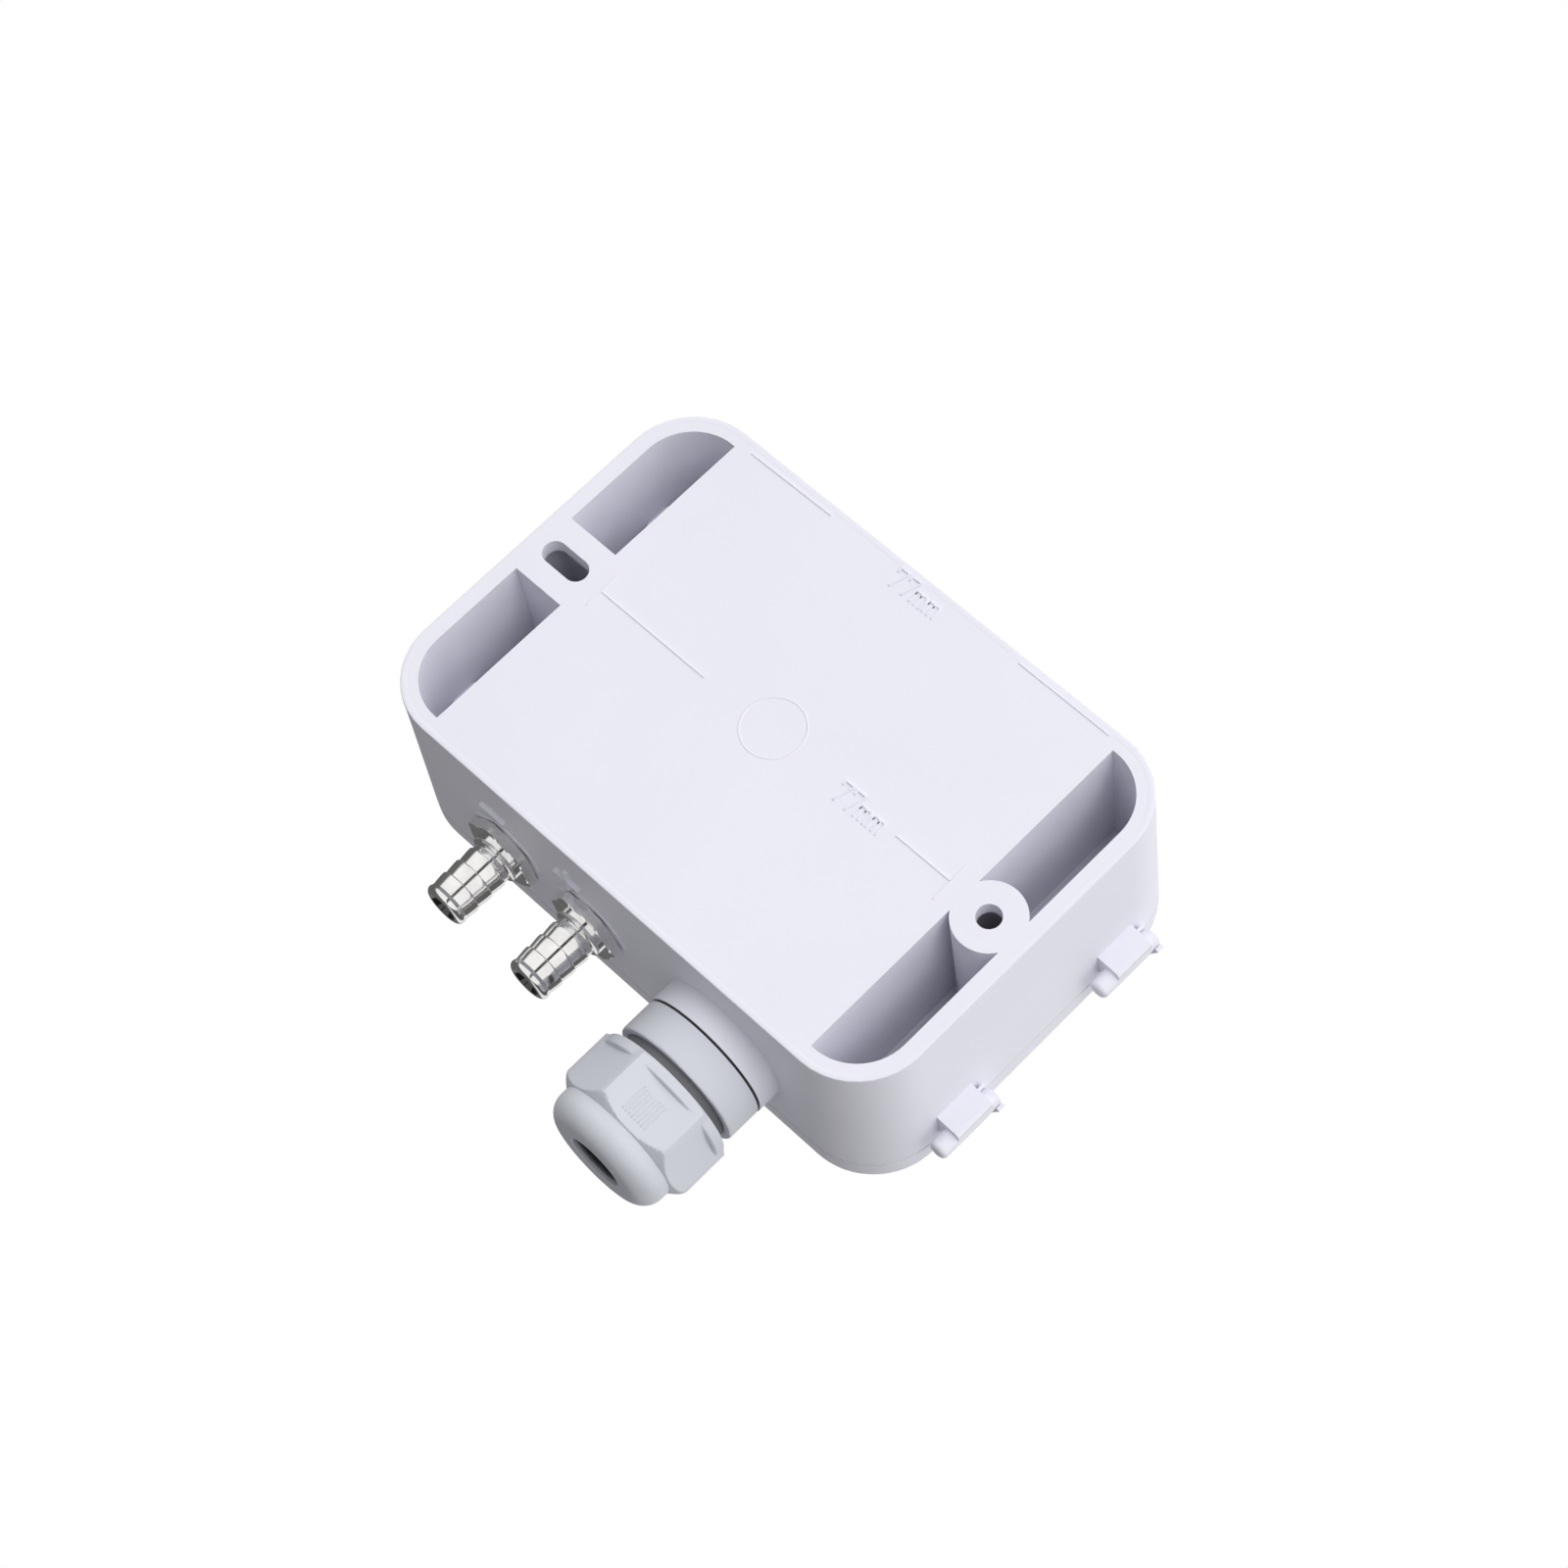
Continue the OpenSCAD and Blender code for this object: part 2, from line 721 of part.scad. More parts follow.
module dome_nut() as_mounted() color([0.82, 0.84, 0.87]) downward(gland_x) difference() {
    union() {
        rotate_extrude() dome_section();
        intersection() {
            translate([0, 0, nut_in]) rotate(-nut_turn) hexagon(gland_af, nut_hex_l);
            rotate_extrude() nut_corner_section();
        }
    }
    translate([0, 0, nut_in - cut]) cylinder(d = nut_thread_d + 2 * run, h = nut_thread_l + cut + apart);
    translate([0, 0, nut_in]) cylinder(d = claw_d + 2 * apart, h = claw_end + apart - nut_in);
    translate([0, 0, nut_in]) cylinder(d = nose_d + 2 * apart, h = nose_tip + apart - nut_in);
    cylinder(d = mouth_d, h = dome_tip + cut);
}

module circuit_board() as_mounted() color([0.1, 0.4, 0.25]) difference() {
    translate([-board_x, board_bottom, board_back]) cube([2 * board_x, 2 * board_z, board_t]);
    for (sx = [-1, 1], sz = [-1, 1])
        upright(sx * board_hole_x, board_mid + sz * board_hole_z, board_screw_d + 0.2, 0, base_d);
}

module board_screw(x, z) {
    head_top = board_front + board_head_t;
    difference() {
        union() {
            upright(x, z, board_pilot_d - 2 * fit, floor_t + 1, board_front);
            upright(x, z, board_head_d, board_front, head_top);
        }
        for (turn = [0, 90])
            translate([x, z, head_top]) rotate(turn) cube([3, 0.7, board_head_t], center = true);
    }
}

module board_screws() as_mounted() color([0.75, 0.75, 0.78])
    for (sx = [-1, 1], sz = [-1, 1])
        board_screw(sx * board_hole_x, board_mid + sz * board_hole_z);

// Places a part on the board's front face.
module on_board(x, z) {
    translate([x, z, board_front]) children();
}

module pressure_sensor() as_mounted() color([0.93, 0.93, 0.9]) difference() {
    union() {
        on_board(sensor_x - sensor_w / 2, sensor_z - sensor_h / 2) cube([sensor_w, sensor_h, sensor_t]);
        for (i = [0, 1])
            downward(port_x + i * port_pitch) translate([0, 0, sensor_bottom - 1])
                cylinder(d = tail_d, h = sensor_tail_l + 1);
    }
    for (i = [0, 1])
        downward(port_x + i * port_pitch) translate([0, 0, sensor_bottom - 4])
            cylinder(d = sensor_bore, h = sensor_tail_l + 5);
}

module hose(x) {
    downward(x) difference() {
        translate([0, 0, hose_end_in]) cylinder(d = hose_out_d, h = hose_end_out - hose_end_in);
        cylinder(d = hose_in_d, h = 2 * half_w, center = true);
    }
}

module hose_plus() as_mounted() color([0.9, 0.9, 0.88]) hose(port_x);

module hose_minus() as_mounted() color([0.9, 0.9, 0.88]) hose(port_x + port_pitch);

// Side view of the terminal block, from its wire side up to its chamfered top.
module terminal_section() {
    polygon([
        [0, 0],
        [term_h, 0],
        [term_h, term_t - 1.5],
        [term_h - 1.5, term_t],
        [2.4, term_t],
        [0, term_t - 3]
    ]);
}

module at_terminal(i) {
    on_board(term_x + (i - (term_n - 1) / 2) * term_pitch, term_z + 1) children();
}

module terminal_block() as_mounted() color([0.2, 0.5, 0.3]) difference() {
    on_board(term_x - term_w / 2, term_z - term_h / 2)
        rotate([90, 0, 90]) linear_extrude(term_w) terminal_section();
    for (i = [0:term_n - 1]) at_terminal(i) {
        translate([0, 0, term_floor]) cylinder(d = term_hole_d, h = term_t);
        translate([-term_hole_d * 0.4, -term_h, term_floor - 0.4]) cube([term_hole_d * 0.8, term_h, 3.6]);
    }
}

module terminal_screws() as_mounted() color([0.8, 0.8, 0.82])
    for (i = [0:term_n - 1]) at_terminal(i) difference() {
        union() {
            translate([0, 0, term_floor])
                cylinder(d = term_hole_d - 1.4, h = term_screw_top - term_floor);
            translate([0, 0, term_screw_top - term_screw_t])
                cylinder(d = term_hole_d - 2 * fit, h = term_screw_t);
        }
        translate([0, 0, term_screw_top]) cube([term_hole_d + 1, 0.7, 1.4], center = true);
    }

module zero_switch() as_mounted() color([0.15, 0.15, 0.16]) on_board(zero_x, zero_z) difference() {
    union() {
        translate([-zero_base / 2, -zero_base / 2, 0]) cube([zero_base, zero_base, zero_body_t - 0.4]);
        cylinder(d = zero_base - 1, h = zero_body_t);
    }
    translate([0, 0, zero_floor]) cylinder(d = zero_stem_d + 2 * run, h = zero_body_t);
}

module zero_button() as_mounted() color([0.85, 0.3, 0.15])
    on_board(zero_x, zero_z) translate([0, 0, zero_floor + zero_travel + 0.4])
        cylinder(d = zero_stem_d, h = zero_body_t);

module at_slider(side) {
    on_board(dip_x + side * dip_pitch / 2, dip_z) translate([0, 0, dip_t - dip_slot_t]) children();
}

module dip_switch() as_mounted() color([0.15, 0.3, 0.65]) difference() {
    on_board(dip_x - dip_w / 2, dip_z - dip_h / 2) cube([dip_w, dip_h, dip_t]);
    for (side = [-1, 1]) at_slider(side)
        translate([-dip_slot_w / 2, -dip_slot_l / 2, 0]) cube([dip_slot_w, dip_slot_l, 2 * dip_slot_t]);
}

module dip_slider(side) {
    width = dip_slot_w - 2 * (dip_slack + 0.05);
    at_slider(side) translate([-width / 2, dip_slack - dip_slot_l / 2, dip_slack])
        cube([width, dip_slot_l - 2 * dip_slack - dip_travel, dip_slot_t + dip_slack]);
}

module dip_slider_1() as_mounted() color([0.95, 0.95, 0.95]) dip_slider(-1);

module dip_slider_2() as_mounted() color([0.95, 0.95, 0.95]) dip_slider(1);

module status_led() as_mounted() color([0.2, 0.8, 0.3]) on_board(led_x, led_z) {
    cylinder(d = led_rim_d, h = 1);
    cylinder(d = led_d, h = led_l);
    translate([0, 0, led_l]) sphere(d = led_d);
}

module capacitor() as_mounted() color([0.2, 0.2, 0.22]) on_board(capacitor_x, capacitor_z) {
    cylinder(d = capacitor_d, h = capacitor_t);
    translate([-capacitor_base / 2, -capacitor_base / 2, 0]) cube([capacitor_base, capacitor_base, lead_l]);
}

// A chip with a row of leads along each long side.
module chip(x, z, leads) {
    chip_w = (leads + 0.1) * lead_pitch - 0.1;
    on_board(x, z) {
        translate([-chip_w / 2, -chip_h / 2, lead_t - 0.5]) cube([chip_w, chip_h, chip_t]);
        for (side = [-1, 1], i = [0:leads - 1])
            translate([(i - (leads - 1) / 2) * lead_pitch, side * (chip_h + lead_l - 0.4) / 2, lead_t / 2])
                cube([lead_w, lead_l, lead_t], center = true);
    }
}

module signal_chip() as_mounted() color([0.12, 0.12, 0.13]) chip(signal_x, signal_z, signal_leads);

module regulator() as_mounted() color([0.12, 0.12, 0.13]) chip(regulator_x, regulator_z, regulator_leads);

base_housing();
lid();
lid_seal();
lid_screw_upper();
lid_screw_lower();
screw_ring_upper();
screw_ring_lower();
port_plus();
port_minus();
port_oring_plus();
port_oring_minus();
port_nut_plus();
port_nut_minus();
gland_body();
gland_washer();
gland_seal();
dome_nut();
circuit_board();
board_screws();
pressure_sensor();
hose_plus();
hose_minus();
terminal_block();
terminal_screws();
zero_switch();
zero_button();
dip_switch();
dip_slider_1();
dip_slider_2();
status_led();
capacitor();
signal_chip();
regulator();
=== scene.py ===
import math
import bpy
import bmesh
from mathutils import Matrix, Vector


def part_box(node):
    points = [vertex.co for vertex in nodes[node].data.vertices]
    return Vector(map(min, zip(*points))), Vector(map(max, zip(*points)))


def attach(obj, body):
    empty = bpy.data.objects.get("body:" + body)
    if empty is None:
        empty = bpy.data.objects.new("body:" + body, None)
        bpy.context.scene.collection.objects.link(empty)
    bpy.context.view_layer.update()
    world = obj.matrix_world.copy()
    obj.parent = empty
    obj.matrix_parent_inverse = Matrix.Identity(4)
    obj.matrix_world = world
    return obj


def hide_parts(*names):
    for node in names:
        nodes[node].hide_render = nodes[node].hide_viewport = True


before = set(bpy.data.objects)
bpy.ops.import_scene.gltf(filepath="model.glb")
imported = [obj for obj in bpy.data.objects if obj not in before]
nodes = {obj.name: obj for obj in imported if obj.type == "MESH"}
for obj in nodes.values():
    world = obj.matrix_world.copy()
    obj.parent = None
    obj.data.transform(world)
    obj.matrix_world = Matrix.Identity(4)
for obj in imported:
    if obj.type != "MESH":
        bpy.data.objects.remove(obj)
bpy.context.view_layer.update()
MM = 0.001
scene = bpy.context.scene

# Sizes of the part in millimetres that the new pieces are set against
HALF_X, HALF_Z, CORNER_R = 45.1, 30.0, 10.4
PORT_DEPTH, GLAND_X = 16.7, -19.2


# Camera, from the fit to the photograph
def make_camera():
    right = Vector((-0.70934, -0.087799, 0.699377))
    down = Vector((-0.598806, -0.448368, -0.663624))
    forward = Vector((0.371844, -0.889526, 0.265471))
    data = bpy.data.cameras.new("camera")
    data.lens = 87.868
    data.sensor_width = 36.0
    data.sensor_fit = "HORIZONTAL"
    data.clip_start = 0.02
    data.clip_end = 20
    cam = bpy.data.objects.new("camera", data)
    scene.collection.objects.link(cam)
    turn = Matrix((right, -down, -forward)).transposed().to_4x4()
    cam.matrix_world = Matrix.Translation(Vector((-188.370, 435.519, -134.023)) * MM) @ turn
    scene.camera = cam


# Materials
def math_node(tree, operation, a, b, c=0.0):
    m = tree.nodes.new("ShaderNodeMath")
    m.operation = operation
    for socket, value in zip(m.inputs, (a, b, c)):
        if isinstance(value, (int, float)):
            socket.default_value = value
        else:
            tree.links.new(value, socket)
    return m.outputs[0]


class Maker:
    """A node material with a Principled shader, and short calls to add its detail."""

    def __init__(self, name, color, rough, metal=0.0, **sockets):
        self.mat = bpy.data.materials.new(name)
        self.mat.use_nodes = True
        self.tree = self.mat.node_tree
        self.shader = self.tree.nodes["Principled BSDF"]
        self.shader.inputs["Base Color"].default_value = (*color, 1)
        self.shader.inputs["Roughness"].default_value = rough
        self.shader.inputs["Metallic"].default_value = metal
        for key, value in sockets.items():
            self.shader.inputs[key.replace("_", " ")].default_value = value
        self.color = color
        self.rough = rough
        self.place = self.add("ShaderNodeTexCoord").outputs["Object"]
        self.normal = None

    def add(self, kind, **values):
        n = self.tree.nodes.new(kind)
        for key, value in values.items():
            setattr(n, key, value)
        return n

    def link(self, a, b):
        self.tree.links.new(a, b)

    def noise(self, size_mm, detail=3, stretch=(1, 1, 1), rough=0.5):
        coords = self.place
        if stretch != (1, 1, 1):
            m = self.add("ShaderNodeMapping")
            m.inputs["Scale"].default_value = stretch
            self.link(coords, m.inputs["Vector"])
            coords = m.outputs["Vector"]
        n = self.add("ShaderNodeTexNoise")
        n.inputs["Scale"].default_value = 1000 / size_mm
        n.inputs["Detail"].default_value = detail
        n.inputs["Roughness"].default_value = rough
        self.link(coords, n.inputs["Vector"])
        return n.outputs["Fac"]

    def cells(self, size_mm, feature="F1"):
        n = self.add("ShaderNodeTexVoronoi", feature=feature)
        n.inputs["Scale"].default_value = 1000 / size_mm
        self.link(self.place, n.inputs["Vector"])
        return n.outputs["Distance"]

    def ramp(self, fac, stops):
        n = self.add("ShaderNodeValToRGB")
        while len(n.color_ramp.elements) < len(stops):
            n.color_ramp.elements.new(0.5)
        for element, (at, color) in zip(n.color_ramp.elements, stops):
            element.position = at
            element.color = (*color, 1) if isinstance(color, (tuple, list)) else (color, color, color, 1)
        self.link(fac, n.inputs["Fac"])
        return n.outputs["Color"]

    def tint(self, fac, spread, low=0.3, high=0.7):
        dark = tuple(c * (1 - spread) for c in self.color)
        light = tuple(min(1, c * (1 + spread)) for c in self.color)
        self.link(self.ramp(fac, [(low, dark), (high, light)]), self.shader.inputs["Base Color"])
        return self

    def vary_rough(self, fac, spread, low=0.3, high=0.7):
        out = self.ramp(fac, [(low, max(0, self.rough - spread)), (high, min(1, self.rough + spread))])
        self.link(out, self.shader.inputs["Roughness"])
        return self

    def bump(self, height, depth_mm, strength=1.0):
        b = self.add("ShaderNodeBump")
        b.inputs["Strength"].default_value = strength
        b.inputs["Distance"].default_value = depth_mm * MM
        self.link(height, b.inputs["Height"])
        if self.normal is not None:
            self.link(self.normal, b.inputs["Normal"])
        self.normal = b.outputs["Normal"]
        self.link(self.normal, self.shader.inputs["Normal"])
        return self


def moulded(name, color, rough=0.42, grain=0.35, depth=0.012, spread=0.012):
    """Injection-moulded plastic: an eroded mould grain, a faint cloudiness and a rough patchiness."""
    m = Maker(name, color, rough)
    m.tint(m.noise(22, 4), spread)
    m.vary_rough(m.noise(3.5, 4), 0.05)
    m.bump(m.noise(9, 2), 0.02, 0.5)
    m.bump(m.noise(grain, 3, rough=0.6), depth, 0.6)
    return m.mat


def turned_metal(name, color, rough, along=(1, 1, 1)):
    """Turned and plated metal: fine tool rings, and a little uneven polish."""
    m = Maker(name, color, rough, 1.0)
    m.tint(m.noise(2.5, 4), 0.08)
    m.vary_rough(m.noise(1.2, 4), 0.07)
    m.bump(m.noise(0.5, 2, stretch=along), 0.003, 0.4)
    return m.mat


def ported_metal(name, color, rough, along):
    """The same for the two ports, with painted shade: their bores, and the flared lip at the tip, are coloured
    near-black where shade falls in them.
    """
    mat = turned_metal(name, color, rough, along)
    tree = mat.node_tree
    shader = tree.nodes["Principled BSDF"]
    axes = tree.nodes.new("ShaderNodeSeparateXYZ")
    tree.links.new(next(n for n in tree.nodes if n.type == "TEX_COORD").outputs["Object"], axes.inputs[0])
    off_x = math_node(tree, "ABSOLUTE", math_node(tree, "SUBTRACT", axes.outputs["X"], 13.4 * MM), 0)
    off_x = math_node(tree, "SUBTRACT", off_x, 8 * MM)
    off_y = math_node(tree, "ADD", axes.outputs["Y"], PORT_DEPTH * MM)
    square = math_node(tree, "MULTIPLY_ADD", off_x, off_x, math_node(tree, "MULTIPLY", off_y, off_y))
    radius = math_node(tree, "SQRT", square, 0)
    # Painted shade: surfaces within 1.25 mm of a port's axis, and within 2.2 mm of it at the tip, are coloured
    # near-black.
    dark = tree.nodes.new("ShaderNodeMixRGB")
    dark.inputs["Color1"].default_value = (0.07, 0.07, 0.07, 1)
    at_tip = math_node(tree, "LESS_THAN", axes.outputs["Z"], -36 * MM)
    shade_radius = math_node(tree, "MULTIPLY_ADD", at_tip, 0.95 * MM, 1.25 * MM)
    tree.links.new(math_node(tree, "GREATER_THAN", radius, shade_radius), dark.inputs["Fac"])
    tree.links.new(shader.inputs["Base Color"].links[0].from_socket, dark.inputs["Color2"])
    tree.links.new(dark.outputs["Color"], shader.inputs["Base Color"])
    return mat


def rubber(name, color=(0.02, 0.02, 0.022)):
    m = Maker(name, color, 0.62)
    m.tint(m.noise(2.5, 4), 0.25)
    m.bump(m.noise(0.25, 3), 0.02, 0.7)
    return m.mat


def board_mask(name):
    """Green solder mask over copper tracks: the tracks show as lighter, slightly raised bands."""
    m = Maker(name, (0.012, 0.12, 0.05), 0.25)
    brick = m.add("ShaderNodeTexBrick", offset=0.37, squash=1.7, squash_frequency=3)
    turn = m.add("ShaderNodeMapping")
    turn.inputs["Rotation"].default_value = (math.radians(90), 0, 0)
    m.link(m.place, turn.inputs["Vector"])
    m.link(turn.outputs["Vector"], brick.inputs["Vector"])
    brick.inputs["Scale"].default_value = 260
    brick.inputs["Mortar Size"].default_value = 0.035
    brick.inputs["Brick Width"].default_value = 1.3
    brick.inputs["Row Height"].default_value = 0.62
    m.link(m.ramp(brick.outputs["Fac"], [(0.0, (0.010, 0.105, 0.045)), (1.0, (0.03, 0.21, 0.085))]),
           m.shader.inputs["Base Color"])
    m.bump(brick.outputs["Fac"], 0.05, 0.7)
    m.bump(m.noise(0.8, 3), 0.01, 0.4)
    return m.mat


GREY = (0.815, 0.813, 0.895)
MATERIALS = {
    "housing": moulded("housing_plastic", GREY, 0.55),
    "gland": moulded("gland_plastic", (0.675, 0.69, 0.755), 0.5, 0.5, 0.01, 0.015),
    "nickel_and_bore_shade": ported_metal("nickel_and_bore_shade", (0.86, 0.85, 0.84), 0.1, (1, 1, 9)),
    "screw": turned_metal("screw_zinc", (0.62, 0.63, 0.65), 0.3, (6, 1, 6)),
    "rubber": rubber("seal_rubber"),
    # The neck ring's dark grey is painted shade in the gap between the gland's collar and its nut.
    "neck": moulded("neck_painted_shade", (0.13, 0.132, 0.14), 0.55, 0.3, 0.01, 0.05),
    "black": moulded("black_plastic", (0.025, 0.025, 0.028), 0.45, 0.3, 0.01, 0.1),
    "white": moulded("white_plastic", (0.74, 0.73, 0.69), 0.42, 0.3, 0.008),
    "green": moulded("green_plastic", (0.035, 0.23, 0.085), 0.4, 0.3, 0.01, 0.05),
    "blue": moulded("blue_plastic", (0.02, 0.055, 0.3), 0.4, 0.3, 0.01, 0.05),
    "orange": moulded("orange_plastic", (0.75, 0.16, 0.02), 0.38, 0.3, 0.01, 0.04),
    "board": board_mask("board_laminate"),
    "silicone": moulded("silicone", (0.66, 0.66, 0.62), 0.5, 0.6, 0.02, 0.03),
    "can": turned_metal("capacitor_can", (0.66, 0.66, 0.68), 0.28, (1, 9, 1)),
}
LENS = Maker("green_lens", (0.06, 0.5, 0.12), 0.12)
LENS.tint(LENS.noise(1.5, 2), 0.15)
LENS.vary_rough(LENS.noise(0.6, 3), 0.05)
MATERIALS["lens"] = LENS.mat

WEARS = {
    "base_housing": "housing", "lid": "housing", "lid_seal": "rubber",
    "lid_screw_upper": "screw", "lid_screw_lower": "screw",
    "screw_ring_upper": "black", "screw_ring_lower": "black",
    "port_plus": "nickel_and_bore_shade", "port_minus": "nickel_and_bore_shade", "port_oring_plus": "rubber", "port_oring_minus": "rubber",
    "port_nut_plus": "nickel_and_bore_shade", "port_nut_minus": "nickel_and_bore_shade",
    "gland_body": "gland", "gland_washer": "rubber", "gland_seal": "rubber", "dome_nut": "gland",
    "circuit_board": "board", "board_screws": "screw", "pressure_sensor": "white",
    "hose_plus": "silicone", "hose_minus": "silicone", "terminal_block": "green", "terminal_screws": "screw",
    "zero_switch": "black", "zero_button": "orange", "dip_switch": "blue",
    "dip_slider_1": "white", "dip_slider_2": "white", "status_led": "lens",
    "capacitor": "can", "signal_chip": "black", "regulator": "black",
}
for node, kind in WEARS.items():
    mesh = nodes[node].data
    mesh.materials.clear()
    mesh.materials.append(MATERIALS[kind])


# New pieces
def piece(name, bm, kind, body, smooth=False):
    mesh = bpy.data.meshes.new(name)
    bmesh.ops.recalc_face_normals(bm, faces=bm.faces)
    bm.to_mesh(mesh)
    bm.free()
    if smooth:
        mesh.shade_smooth()
        mesh.set_sharp_from_angle(angle=math.radians(smooth))
    mesh.materials.append(MATERIALS[kind])
    obj = bpy.data.objects.new(name, mesh)
    scene.collection.objects.link(obj)
    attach(obj, body)
    return obj


def raised_stroke(bm, points, width, height, to_world, crest=0.28):
    """A raised line with sloping sides along a flat path: the way a mould shows an engraved line."""
    n = len(points)
    left, right = [], []
    for i, p in enumerate(points):
        p = Vector(p)
        a = Vector(points[max(i - 1, 0)])
        b = Vector(points[min(i + 1, n - 1)])
        before = (p - a).normalized() if i else (b - p).normalized()
        after = (b - p).normalized() if i < n - 1 else before
        mean = (before + after).normalized()
        side = Vector((-mean.y, mean.x)) / max(0.5, mean.dot(after))
        if i == 0:
            p = p - before * width * 0.4
        if i == n - 1:
            p = p + after * width * 0.4
        left.append((p, side))
        right.append((p, -side))
    rows = []
    for (p, s), (_, t) in zip(left, right):
        rows.append([bm.verts.new(to_world(q.x, q.y, h)) for q, h in (
            (p + s * width * 0.5, -0.02), (p + s * width * 0.5, 0.0), (p + s * width * crest, height),
            (p + t * width * crest, height), (p + t * width * 0.5, 0.0), (p + t * width * 0.5, -0.02))])
    for r, q in zip(rows, rows[1:]):
        for k in range(6):
            bm.faces.new((r[k], r[(k + 1) % 6], q[(k + 1) % 6], q[k]))
    bm.faces.new(rows[0])
    bm.faces.new(list(reversed(rows[-1])))


def on_back(x, z, h):
    return Vector((x, h, z)) * MM


def arc(cx, cy, r, start, end, n=8):
    return [(cx + r * math.cos(math.radians(start + (end - start) * i / n)),
             cy + r * math.sin(math.radians(start + (end - start) * i / n))) for i in range(n + 1)]


def number_and_unit(bm, x, z, cap, low, width):
    """77 and mm in plain strokes, reading along -X with their tops towards +Z."""
    def to_back(u, v, h):
        return on_back(x - u, z + v, h)
    for u in (0, 2.1):
        raised_stroke(bm, [(u, cap * 0.82), (u, cap), (u + 1.45, cap), (u + 0.55, 0)], width, 0.26, to_back)
    for u in (4.05, 6.35):
        raised_stroke(bm, [(u, 0), (u, low)], width, 0.2, to_back)
        for k in (0, 1):
            left = u + 0.85 * k
            raised_stroke(bm, [(left, low * 0.72)] + arc(left + 0.42, low - 0.42, 0.42, 150, 0, 7) + [(left + 0.84, 0)],
                          width, 0.2, to_back)


def back_marks():
    bm = bmesh.new()
    number_and_unit(bm, -12.0, -1.35, 2.95, 1.85, 0.32)
    number_and_unit(bm, 4.35, 26.05, 2.85, 1.8, 0.32)
    def line(a, b, width=0.3):
        raised_stroke(bm, [a, b], width, 0.16, on_back)
    line((-22.2, 0.3), (-31.3, 0.3))
    line((-31.6, 3.0), (-31.6, -2.8))
    line((31.4, 0.0), (12.4, 0.0))
    line((31.6, 2.8), (31.6, -2.6))
    line((-16.8, 28.85), (-32.3, 28.85))
    line((31.6, 28.3), (17.1, 28.5))
    piece("back_marks", bm, "housing", "housing")


def ejector_ring():
    """The faint round witness line that the mould's gate and its plug leave in the middle of the back."""
    bm = bmesh.new()
    ring = arc(0.4, 0.75, 4.65, 0, 360, 64)[:-1]
    inner = arc(0.4, 0.75, 4.35, 0, 360, 64)[:-1]
    rows = []
    for (x1, z1), (x2, z2) in zip(ring, inner):
        mid = ((x1 + x2) / 2, (z1 + z2) / 2)
        rows.append([bm.verts.new(on_back(x1, z1, -0.02)), bm.verts.new(on_back(x1, z1, 0)),
                     bm.verts.new(on_back(*mid, 0.1)), bm.verts.new(on_back(x2, z2, 0)), bm.verts.new(on_back(x2, z2, -0.02))])
    n = len(rows)
    for i in range(n):
        r, q = rows[i], rows[(i + 1) % n]
        for k in range(5):
            bm.faces.new((r[k], r[(k + 1) % 5], q[(k + 1) % 5], q[k]))
    piece("ejector_ring", bm, "housing", "housing", smooth=50)


def loop_round(half_x, half_z, r, n=10):
    """A rounded rectangle as places and outward directions."""
    out = []
    for sx, sz, start in ((1, 1, 0), (-1, 1, 90), (-1, -1, 180), (1, -1, 270)):
        for i in range(n + 1):
            a = math.radians(start + 90 * i / n)
            way = Vector((math.cos(a), 0, math.sin(a)))
            out.append((Vector((sx * (half_x - r), 0, sz * (half_z - r))), way, r))
    return out


def back_rim():
    """The back's edge, which the mould parts crisply: a thin band over the rounding of the walls."""
    low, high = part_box("base_housing")
    bm = bmesh.new()
    rim, crisp, proud = 0.8, 0.14, 0.012
    lean = 0.38 / 27.5
    section = [(-rim - 0.25, -0.03), (-rim - 0.1, proud)]
    for i in range(4):
        a = math.radians(90 - 30 * i)
        section.append((-crisp + (crisp + proud) * math.cos(a), -crisp + (crisp + proud) * math.sin(a)))
    section += [(proud + lean * 1.2, -rim - 0.35), (-0.1, -rim - 0.5), (-rim, -rim - 0.4)]
    rows = []
    for centre, way, r in loop_round(HALF_X, HALF_Z, CORNER_R):
        rows.append([bm.verts.new((centre + way * (r + u) + Vector((0, v, 0))) * MM) for u, v in section])
    n, k = len(rows), len(section)
    for i in range(n):
        a, b = rows[i], rows[(i + 1) % n]
        for j in range(k):
            bm.faces.new((a[j], a[(j + 1) % k], b[(j + 1) % k], b[j]))
    piece("back_rim", bm, "housing", "housing", smooth=40)


def lathe(bm, profile, steps=72):
    """A turned body from radius and distance, on its own axis along -Z."""
    rows = []
    for i in range(steps):
        a = 2 * math.pi * i / steps
        rows.append([bm.verts.new((r * math.cos(a), r * math.sin(a), -d)) for r, d in profile])
    k = len(profile)
    for i in range(steps):
        a, b = rows[i], rows[(i + 1) % steps]
        for j in range(k):
            bm.faces.new((a[j], a[(j + 1) % k], b[(j + 1) % k], b[j]))


